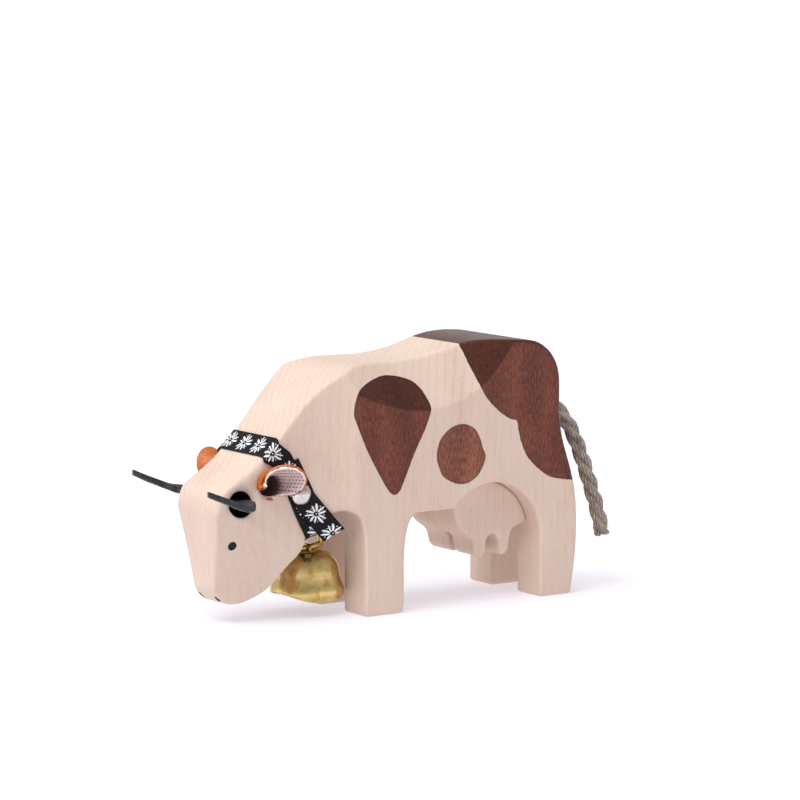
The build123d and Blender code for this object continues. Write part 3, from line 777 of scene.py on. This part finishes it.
def printed_ribbon():
    """Satin ribbon, woven from polyester and screen printed: near black with a soft sheen and white starbursts,
    a plain design drawn for this part."""
    look = bpy.context.scene.cow_look
    material, node, shader = start_material("printed satin ribbon")
    uv = node("UVMap", uv_map="UVMap")
    # U is millimetres from the ribbon's middle, V is millimetres along it
    across, along, _ = node("SeparateXYZ", (uv,)).node.outputs
    shifted = node("Math", (along, FLOWER_START), "SUBTRACT")
    repeat = node("Math", (shifted, FLOWER_STEP / 2, -FLOWER_STEP / 2), "WRAP")
    across_2 = node("Math", (across, across), "MULTIPLY")
    radius_2 = node("Math", (repeat, repeat, across_2), "MULTIPLY_ADD")
    even = node("Math", (radius_2,), "SQRT")
    angle = node("Math", (repeat, across), "ARCTAN2")
    # Three petals are longer than the others, and neighbours lean towards each other in pairs
    thrice, waves = (node("Math", (angle, times), "MULTIPLY") for times in (3.0, 5.0))
    swing, lean = (node("Math", (wave,), "SINE") for wave in (thrice, waves))
    share = node("Math", (swing, 0.10, 1.02), "MULTIPLY_ADD")
    radius = node("Math", (even, share), "MULTIPLY")
    reach = node("Math", (radius, 0.045, -0.07), "MULTIPLY_ADD")
    bent_angle = node("Math", (lean, reach, angle), "MULTIPLY_ADD")

    def petals(count, turn, inner, outer, width):
        """A mask of leaf-shaped petals with round ends between two radii."""
        half = math.pi / count
        lateral = bent_angle
        for operation, *others in (("ADD", turn), ("WRAP", half, -half), ("ABSOLUTE",), ("MULTIPLY", radius)):
            lateral = node("Math", (lateral, *others), operation)
        far = node("Math", (radius, (inner + outer) / 2), "SUBTRACT")
        share = node("Math", (far, (outer - inner) / 2), "DIVIDE")
        square = node("Math", (share, share), "MULTIPLY")
        inside = node("Math", (1.0, square), "SUBTRACT", use_clamp=True)
        for operation, other in (("POWER", 0.3), ("MULTIPLY", width), ("SUBTRACT", lateral)):
            inside = node("Math", (inside, other), operation)
        return node("MapRange", {"Value": inside, "From Min": 0.0, "From Max": 0.08})

    # Ten strokes, a dot between each two, and a dot in the middle
    step = 2 * math.pi / 10
    flower = petals(10, 0.2, 0.95, 4.1, 0.43)
    for mask in (petals(10, 0.2 + step / 2, 2.9, 3.35, 0.18), petals(1, 0.0, -0.40, 0.40, 0.40)):
        flower = node("Math", (flower, mask), "MAXIMUM")
    ground, ink = tuple(look.ribbon_ground), tuple(look.ribbon_print)
    colour = node("Mix", {"Factor": flower, "A": ground, "B": ink})
    # Threads 0.25 mm apart one way and 0.4 mm the other
    weave, cross = (
        node("TexWave", {"Vector": uv, "Scale": WAVE_LENGTH / spacing}, output="Fac", bands_direction=direction)
        for spacing, direction in ((0.25, "Y"), (0.4, "X"))
    )
    height = node("Math", (weave, cross), "ADD")
    bump = node("Bump", {"Height": height, "Strength": 0.3, "Distance": 0.00005})
    feed(shader, {"Base Color": colour, "Roughness": 0.6, "Specular IOR Level": 0.2, "Normal": bump})
    return material


class COW_OT_ribbon(bpy.types.Operator):
    """Wrap the printed ribbon round the neck and through the bell's ring"""

    bl_idname = "cow.ribbon"
    bl_label = "Ribbon collar"

    def execute(self, context):
        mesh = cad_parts["body"].data
        tree = BVHTree.FromPolygons([v.co for v in mesh.vertices], [p.vertices for p in mesh.polygons])

        def top_of(x):
            above = Vector((x * MM, 0.0, 2 * BODY_HEIGHT * MM))
            return tree.ray_cast(above, Vector((0, 0, -1)))[0].z / MM

        rows = ribbon_rows(top_of)
        points = []
        uvs = []
        faces = []
        along = 0.0
        for number, row in enumerate(rows):
            if number:
                along += sum((a - b).length for a, b in zip(row, rows[number - 1])) / len(row)
                for a in range((number - 1) * RIBBON_POINTS, number * RIBBON_POINTS - 1):
                    faces.append((a, a + 1, a + 1 + RIBBON_POINTS, a + RIBBON_POINTS))
            width = (row[-1] - row[0]).length
            for place, point in enumerate(row):
                points.append(point)
                uvs.append(((place / (RIBBON_POINTS - 1) - 0.5) * width, along))
        piece = mesh_piece("cow_ribbon", points, faces, uvs)
        modify(piece, "cloth", "SOLIDIFY", thickness=0.45 * MM, offset=0.0)
        bpy.ops.object.shade_smooth_by_angle(angle=math.radians(40))
        finish_piece(piece, "figurine", ["collar_ribbon"], printed_ribbon())
        return {"FINISHED"}


# Leather

TOOTH_PITCH = 1.15
TOOTH_DEPTH = 1.15
RIGHT_HORN_RISE = 1.5
RIGHT_TIP_LOSS = 1.1


def dark_leather():
    """Bridle leather dyed through and cut with a toothed blade: charcoal, matt, with a faint grain, and greyer
    where the teeth are rubbed."""
    material, node, shader = start_material("dyed leather")
    place = node("TexCoord", output="Object")
    grain = node("TexNoise", {"Vector": place, "Scale": 1500.0, "Detail": 3.0})
    blotch = node("TexNoise", {"Vector": place, "Scale": 220.0, "Detail": 2.0})
    tone = node("Math", (blotch, 0.6, grain), "MULTIPLY_ADD")
    colour = node("ValToRGB", (tone,), stops=[(0.5, "#17181A"), (0.8, "#27282A"), (1.0, "#444446")])
    rubbed = node("Attribute", output="Fac", attribute_name="rubbed")
    colour = node("Mix", {"Factor": rubbed, "A": colour, "B": "#66666A"})
    bump = node("Bump", {"Height": grain, "Strength": 0.5, "Distance": 0.0001})
    feed(shader, {"Base Color": colour, "Roughness": 0.6, "Normal": bump})
    return material


class COW_OT_horns(bpy.types.Operator):
    """Cut the leather horns, with their toothed edge"""

    bl_idname = "cow.horns"
    bl_label = "Horns"

    def execute(self, context):
        piece = copy_of("horns", "cow_horns")
        sand(piece, voxel=0.2, passes=4)
        x, y, _ = points_of(piece).T
        rub(piece, "bends", (np.abs(y) > 21) & (x > -67.5), passes=45)
        points = points_of(piece)
        normals = vertex_array(piece, "normal")
        # Teeth of the blade, about 1 mm apart, on the lower edge outside the head
        x, y, _ = points.T
        along = np.where(np.abs(y) > 25, x, np.abs(y) * 0.9 + x * 0.45)
        outside = progress(np.abs(y), HALF_HEAD + 0.5, HALF_HEAD + 2.0)
        low = progress(normals[:, 2], 0.25, -0.25)
        saw = np.abs((along / TOOTH_PITCH) % 1.0 - 0.5) * 2
        points -= normals * (TOOTH_DEPTH * saw**1.5 * outside * low)[:, None]
        mark(piece, "rubbed", 0.5 * outside * low * (1 - saw) ** 2)
        # The right horn stands a little higher than the left, and its tip is a little shorter
        points[:, 2] += RIGHT_HORN_RISE * progress(y, HALF_HEAD, 26)
        points[:, 0] += RIGHT_TIP_LOSS * progress(x, -77, -84) * (y > HALF_HEAD)
        put_points(piece, points)
        finish_piece(piece, "figurine", ["horns"], dark_leather())
        return {"FINISHED"}


EAR_THICKNESS = 1.7
EAR_ROLL_RADIUS = 3.95
EAR_SIDES = 60
# The slit of the roll, in degrees round it
EAR_GAP = (197, 250)
EAR_HOLE_DEPTH = 7.4
EAR_TUBE_LENGTH = 8.8
EAR_TUBE_STEPS = 3
EAR_FLARE_STEPS = 7
# The part of the mouth's edge that is pared thin, in degrees round it
EAR_PARED = (240, 345)
RIGHT_EAR_TURN = 75.0


def ear_leather():
    """Vegetable-tanned leather: orange glazed grain outside, a white core at the cut, pink-grey suede inside,
    pressed with short dashes. The value through runs from 0 on the grain side to 1 on the suede side."""
    material, node, shader = start_material("vegetable-tanned leather")
    through, roll_shade = (node("Attribute", output="Fac", attribute_name=mark_name) for mark_name in ("through", "roll_shade"))
    place = node("TexCoord", output="Object")
    grain = node("TexNoise", {"Vector": place, "Scale": 900.0, "Detail": 3.0})
    outside = node("ValToRGB", (grain,), stops=[(0.3, "#A34C14"), (0.65, "#CC6B1C")])
    core = node("ValToRGB", (grain,), stops=[(0.3, "#D9CCC6"), (0.7, "#F6F0EC")])
    uv = node("UVMap", uv_map="UVMap")
    # U and V are millimetres over the mouth: low dashes in staggered rows 1.3 mm apart
    rows = node("Mapping", {"Vector": uv, "Scale": (1.0, 0.44, 1.0)})
    dashes = node("TexBrick", {
        "Vector": rows, "Scale": 1.0, "Mortar Size": 0.27, "Mortar Smooth": 0.4, "Brick Width": 1.15,
        "Row Height": 0.58, "Color1": "#FFFFFF", "Color2": "#FFFFFF", "Mortar": "#000000",
    })
    nap = node("TexNoise", {"Vector": place, "Scale": 1100.0, "Detail": 3.0})
    suede = node("ValToRGB", (nap,), stops=[(0.3, "#BFA4A1"), (0.7, "#DFCCC9")])
    pressed = node("Mix", {"Factor": dashes, "A": suede, "B": "#6C3A30"})
    # Painted shade: the suede darkens to brown towards the inside of the roll, where the hollow lies in shade
    hollow = node("Mix", {"Factor": roll_shade, "A": pressed, "B": "#6E5147"})
    # The toothed blade leaves notches where the grain side meets the core
    notched = node("TexNoise", {"Vector": place, "Scale": 700.0, "Detail": 0.0})
    ragged = node("Math", (notched, 0.5, through), "MULTIPLY_ADD")
    to_core = node("MapRange", {"Value": ragged, "From Min": 0.80, "From Max": 0.88})
    to_suede = node("MapRange", {"Value": through, "From Min": 0.955, "From Max": 0.99})
    edge = node("Mix", {"Factor": to_core, "A": outside, "B": core})
    colour = node("Mix", {"Factor": to_suede, "A": edge, "B": hollow})
    dull = node(
        "MapRange",
        {"Value": through, "From Min": 0.5, "From Max": 0.7, "To Min": 0.5, "To Max": 0.9},
    )
    bump = node("Bump", {"Height": nap, "Strength": 0.4, "Distance": 0.0001})
    feed(shader, {"Base Color": colour, "Roughness": dull, "Normal": bump})
    return material


class COW_OT_ears(bpy.types.Operator):
    """Roll the two leather ears into their holes"""

    bl_idname = "cow.ears"
    bl_label = "Ears"

    def execute(self, context):
        look = ear_leather()
        for sign, word in ((LEFT, "left"), (RIGHT, "right")):
            piece = self.rolled_strip(f"cow_ear_{word}")
            self.give_thickness(piece)
            self.mark_surfaces(piece)
            self.place(piece, sign)
            finish_piece(piece, "figurine", [f"ear_{word}"], look)
        return {"FINISHED"}

    def rolled_strip(self, name):
        """A circle with a gap, drawn out of its hole and flared step by step into an oval, for the right side."""
        centre = Vector((EAR_HOLE[0], HALF_HEAD - EAR_HOLE_DEPTH, EAR_HOLE[1])) * MM
        bpy.ops.object.select_all(action="DESELECT")
        bpy.ops.mesh.primitive_circle_add(
            vertices=EAR_SIDES, radius=EAR_ROLL_RADIUS * MM, location=centre, rotation=(math.radians(90), 0, 0)
        )
        piece = bpy.context.active_object
        piece.name = name
        piece.data.name = name
        bpy.ops.object.transform_apply(location=True, rotation=True, scale=True)
        for vertex in piece.data.vertices:
            offset = vertex.co - centre
            angle = math.degrees(math.atan2(offset.z, offset.x)) % 360
            vertex.select = EAR_GAP[0] < angle < EAR_GAP[1]
        for edge in piece.data.edges:
            edge.select = False
        bpy.ops.object.mode_set(mode="EDIT")
        bpy.ops.mesh.delete(type="VERT")
        bpy.ops.mesh.select_all(action="SELECT")
        for _ in range(EAR_TUBE_STEPS):
            move = Vector((0, EAR_TUBE_LENGTH / EAR_TUBE_STEPS * MM, 0))
            bpy.ops.mesh.extrude_region_move(TRANSFORM_OT_translate={"value": move})
            centre += move
        # The turns are given backwards, because rotate turns the other way where there is no window
        for step in range(EAR_FLARE_STEPS):
            move = Vector((0.25, 0.88, 0.34)) * MM * (1.30 - 0.1 * step)
            bpy.ops.mesh.extrude_region_move(TRANSFORM_OT_translate={"value": move})
            centre += move
            bpy.ops.transform.resize(value=(1.094, 1.0, 1.030), center_override=centre)
            for axis, degrees in (("Z", 5.2), ("Y", -1.5), ("X", -1.2)):
                bpy.ops.transform.rotate(value=-math.radians(degrees), orient_axis=axis, center_override=centre)
        bpy.ops.object.mode_set(mode="OBJECT")
        return piece

    def give_thickness(self, piece):
        """Thick along the top of the mouth, pared thin along its lower edge."""
        root = Vector((EAR_HOLE[0], 0, EAR_HOLE[1]))
        group = piece.vertex_groups.new(name="thickness")
        outside = []
        for vertex in piece.data.vertices:
            point = vertex.co / MM - root
            angle = math.degrees(math.atan2(point.z - 0.2 * point.x, point.x)) % 360
            flared = min(1.0, max(0.0, (point.y - HALF_HEAD) / 4))
            pared = 0.55 if EAR_PARED[0] < angle < EAR_PARED[1] else 0.0
            group.add([vertex.index], 1.0 - pared * flared, "REPLACE")
            outside.append(1.0 if pared and flared > 0.6 else 0.0)
        modify(
            piece, "leather", "SOLIDIFY", thickness=EAR_THICKNESS * MM, offset=1.0, vertex_group=group.name,
            use_even_offset=True,
        )
        # Where the edge is pared, the suede shows outside too
        mark(piece, "through", outside + [1.0] * (len(piece.data.vertices) - len(outside)))
        piece.vertex_groups.clear()

    def mark_surfaces(self, piece):
        """A planar map over the mouth in millimetres, and how far into the roll each point lies, for the painted
        shade there.
        """
        run = Vector((0.90, 0.42, 0.06)).normalized()
        rise = Vector((-0.05, -0.02, 1.0)).normalized()
        mesh = piece.data
        while mesh.uv_layers:
            mesh.uv_layers.remove(mesh.uv_layers[0])
        points = points_of(piece)
        map_uvs(mesh, points @ np.array([run, rise]).T)
        x, y, _ = points.T
        # Painted shade: this value darkens the suede towards the inside of the roll
        mark(piece, "roll_shade", np.clip((HALF_HEAD + 2.6 - y + 0.12 * (EAR_HOLE[0] - x)) / 2.2, 0, 1))
        modify(piece, "cut", "BEVEL", width=0.18 * MM, segments=2, angle_limit=math.radians(50))

    def place(self, piece, sign):
        """The right ear stands up, turned in its hole; the left one is the mirror image of the unturned form."""
        hole = Vector((EAR_HOLE[0], 0, EAR_HOLE[1])) * MM
        if sign == RIGHT:
            turn = Matrix.Rotation(-math.radians(RIGHT_EAR_TURN), 4, "Y")
            piece.data.transform(Matrix.Translation(hole) @ turn @ Matrix.Translation(-hole))
        else:
            piece.data.transform(Matrix.Scale(-1, 4, (0, 1, 0)))
        edit_all(piece, bpy.ops.mesh.normals_make_consistent, inside=False)
        bpy.ops.object.shade_smooth_by_angle(angle=math.radians(45))


# Metal

BELL_AXIS = (-26.187, -3.0)
RING_BAR_Z = 24.09
EYE_SQUEEZE = 0.26
# How far the crown rises beside its groove, at these distances from the axis
CROWN_RADII = (0, 5.0, 7.5, 9.5, 11.0, 12.0)
CROWN_LIFTS = (1.5, 1.5, 1.3, 0.9, 0.35, 0.0)
FLAT_DEPTH = 0.45
FLAT_TURN = 1.742


def brass():
    """Brass sheet, pressed and polished: a soft mirror with gentle waves, and patches of brown tarnish."""
    material, node, shader = start_material("polished brass")
    place = node("TexCoord", output="Object")
    waves = node("TexNoise", {"Vector": place, "Scale": 90.0, "Detail": 1.0})
    tarnish = node("TexNoise", {"Vector": place, "Scale": 300.0, "Detail": 4.0})
    colour = node("ValToRGB", (tarnish,), stops=[(0.3, "#B4975A"), (0.5, "#D2B676"), (0.75, "#DEC58A")])
    rough = node(
        "MapRange",
        {"Value": tarnish, "From Min": 0.3, "From Max": 0.7, "To Min": 0.30, "To Max": 0.19},
    )
    bump = node("Bump", {"Height": waves, "Strength": 0.35, "Distance": 0.0008})
    feed(shader, {"Base Color": colour, "Metallic": 1.0, "Roughness": rough, "Normal": bump})
    return material


def nickel():
    """Nickel-plated steel, drawn and polished: a pale warm mirror."""
    material, node, shader = start_material("nickel plate")
    place = node("TexCoord", output="Object")
    haze = node("TexNoise", {"Vector": place, "Scale": 500.0, "Detail": 3.0})
    colour = node("ValToRGB", (haze,), stops=[(0.3, "#C9C3BC"), (0.7, "#E0DCD7")])
    feed(shader, {"Base Color": colour, "Metallic": 1.0, "Roughness": 0.06})
    return material


class COW_OT_bell(bpy.types.Operator):
    """Polish the bell, its ring, staple and clapper, and the collar's nail"""

    bl_idname = "cow.bell"
    bl_label = "Bell and nail"

    def execute(self, context):
        look = brass()
        for node, name, body, voxel, passes in (
            ("bell_shell", "cow_bell", "bell", 0.25, 4),
            ("bell_staple", "cow_staple", "bell", 0.14, 1),
            ("clapper", "cow_clapper", "clapper", 0.14, 3),
        ):
            piece = copy_of(node, name)
            sand(piece, voxel, passes)
            if node == "bell_shell":
                self.raise_crown(piece)
            if node == "bell_staple":
                # Bent close round the ring's bar
                points = points_of(piece)
                points[:, 2] -= EYE_SQUEEZE * np.maximum(points[:, 2] - RING_BAR_Z, 0)
                put_points(piece, points)
            finish_piece(piece, body, [node], look)
        piece = copy_of("bell_ring", "cow_ring")
        modify(piece, "edges", "BEVEL", width=0.35 * MM, segments=3, angle_limit=math.radians(40))
        bpy.ops.object.shade_smooth_by_angle(angle=math.radians(40))
        finish_piece(piece, "ring", ["bell_ring"], look)
        piece = copy_of("collar_nail", "cow_nail")
        sand(piece, voxel=0.16, passes=4)
        finish_piece(piece, "figurine", ["collar_nail"], nickel())
        return {"FINISHED"}

    def raise_crown(self, piece):
        """The crown slopes up to a groove that holds the ring, and the wall is beaten into soft flats."""
        points = points_of(piece)
        x, y, z = points.T
        off_x = x - BELL_AXIS[0]
        off_y = y - BELL_AXIS[1]
        radius = np.hypot(off_x, off_y)
        groove = progress(np.abs(off_y), 1.6, 2.9)
        groove = groove * groove * (3 - 2 * groove)
        points[:, 2] += np.interp(radius, CROWN_RADII, CROWN_LIFTS) * groove * progress(z, 15, 20)
        turn = np.arctan2(off_y, off_x)
        flats = FLAT_DEPTH * (1 - np.abs(np.cos(2.0 * turn + FLAT_TURN))) * progress(z, 9, 15) * progress(z, 21, 17)
        points[:, 0] += off_x / np.maximum(radius, 1) * flats
        points[:, 1] += off_y / np.maximum(radius, 1) * flats
        put_points(piece, points)


# Studio. The camera's turn and rise are in degrees, its distance and target in millimetres.

CAMERA_TURN = -33.95
CAMERA_RISE = 7.06
CAMERA_DISTANCE = 1525.4
CAMERA_TARGET = (18.06, 0.0, 77.47)
CAMERA_LENS = 180.0
SUN_FROM = Vector((-0.42, -0.04, 0.90))
SUN_SPREAD = 50.0


class COW_OT_stage(bpy.types.Operator):
    """Set the white floor, the soft lights and the camera"""

    bl_idname = "cow.stage"
    bl_label = "Floor, lights and camera"

    def execute(self, context):
        scene = context.scene
        scene.view_settings.view_transform = "Standard"
        turn = math.radians(CAMERA_TURN)
        rise = math.radians(CAMERA_RISE)
        back = Vector((math.sin(turn) * math.cos(rise), -math.cos(turn) * math.cos(rise), math.sin(rise)))
        right = Vector((math.cos(turn), math.sin(turn), 0.0))
        place = (Vector(CAMERA_TARGET) + back * CAMERA_DISTANCE) * MM
        data = bpy.data.cameras.new("camera")
        data.lens = CAMERA_LENS
        data.sensor_width = 36.0
        data.clip_start = 0.05
        data.clip_end = 60.0
        camera = link_object("camera", data)
        turned = Matrix((right, back.cross(right), back)).transposed().to_4x4()
        camera.matrix_world = Matrix.Translation(place) @ turned
        scene.camera = camera

        bpy.ops.object.select_all(action="DESELECT")
        bpy.ops.mesh.primitive_plane_add(size=40.0, location=(0.0, 0.0, 0.0))
        floor = context.active_object
        floor.name = "studio_floor"
        # White acrylic, lit from below as on a product table, so that shadows on it stay pale
        material, node, shader = start_material("lit white acrylic")
        feed(shader, {
            "Base Color": "#B9B6BE", "Roughness": 0.9, "Emission Color": "#FCF9FF", "Emission Strength": 0.52,
        })
        floor.data.materials.append(material)

        world = bpy.data.worlds.new("studio")
        world.use_nodes = True
        node = partial(add, world.node_tree)
        direction = node("TexCoord", output="Generated")
        height = node("SeparateXYZ", (direction,), output="Z")
        walls = node(
            "MapRange",
            {"Value": height, "From Min": 0.0, "From Max": 0.7, "To Min": 0.84, "To Max": 0.34},
        )
        feed(world.node_tree.nodes["Background"], {"Color": "#FFFFFF", "Strength": walls})
        scene.world = world

        lamp = bpy.data.lights.new("key", "SUN")
        lamp.energy = 3.0
        lamp.angle = math.radians(SUN_SPREAD)
        lamp.color = (0.98, 1.0, 1.04)
        light = link_object("key", lamp)
        light.location = SUN_FROM
        light.rotation_euler = SUN_FROM.to_track_quat("Z", "Y").to_euler()
        return {"FINISHED"}


class COW_PT_panel(bpy.types.Panel):
    """The steps of the cow, in order"""

    bl_idname = "COW_PT_panel"
    bl_label = "Wooden cow"
    bl_space_type = "VIEW_3D"
    bl_region_type = "UI"
    bl_category = "Cow"

    def draw(self, context):
        for name in CowLook.__annotations__:
            self.layout.prop(context.scene.cow_look, name)
        for step in STEPS:
            self.layout.operator(step.bl_idname)


STEPS = (COW_OT_stage, COW_OT_tail, COW_OT_body, COW_OT_udder, COW_OT_horns, COW_OT_ears, COW_OT_ribbon, COW_OT_bell)


def register():
    for kind in (CowLook, *STEPS, COW_PT_panel):
        bpy.utils.register_class(kind)
    bpy.types.Scene.cow_look = PointerProperty(type=CowLook)


def unregister():
    del bpy.types.Scene.cow_look
    for kind in (COW_PT_panel, *reversed(STEPS), CowLook):
        bpy.utils.unregister_class(kind)


def main():
    register()
    bpy.ops.cow.stage()
    bpy.ops.cow.tail()
    bpy.ops.cow.body()
    bpy.ops.cow.udder()
    bpy.ops.cow.horns()
    bpy.ops.cow.ears()
    bpy.ops.cow.ribbon()
    bpy.ops.cow.bell()


if __name__ == "__main__":
    main()
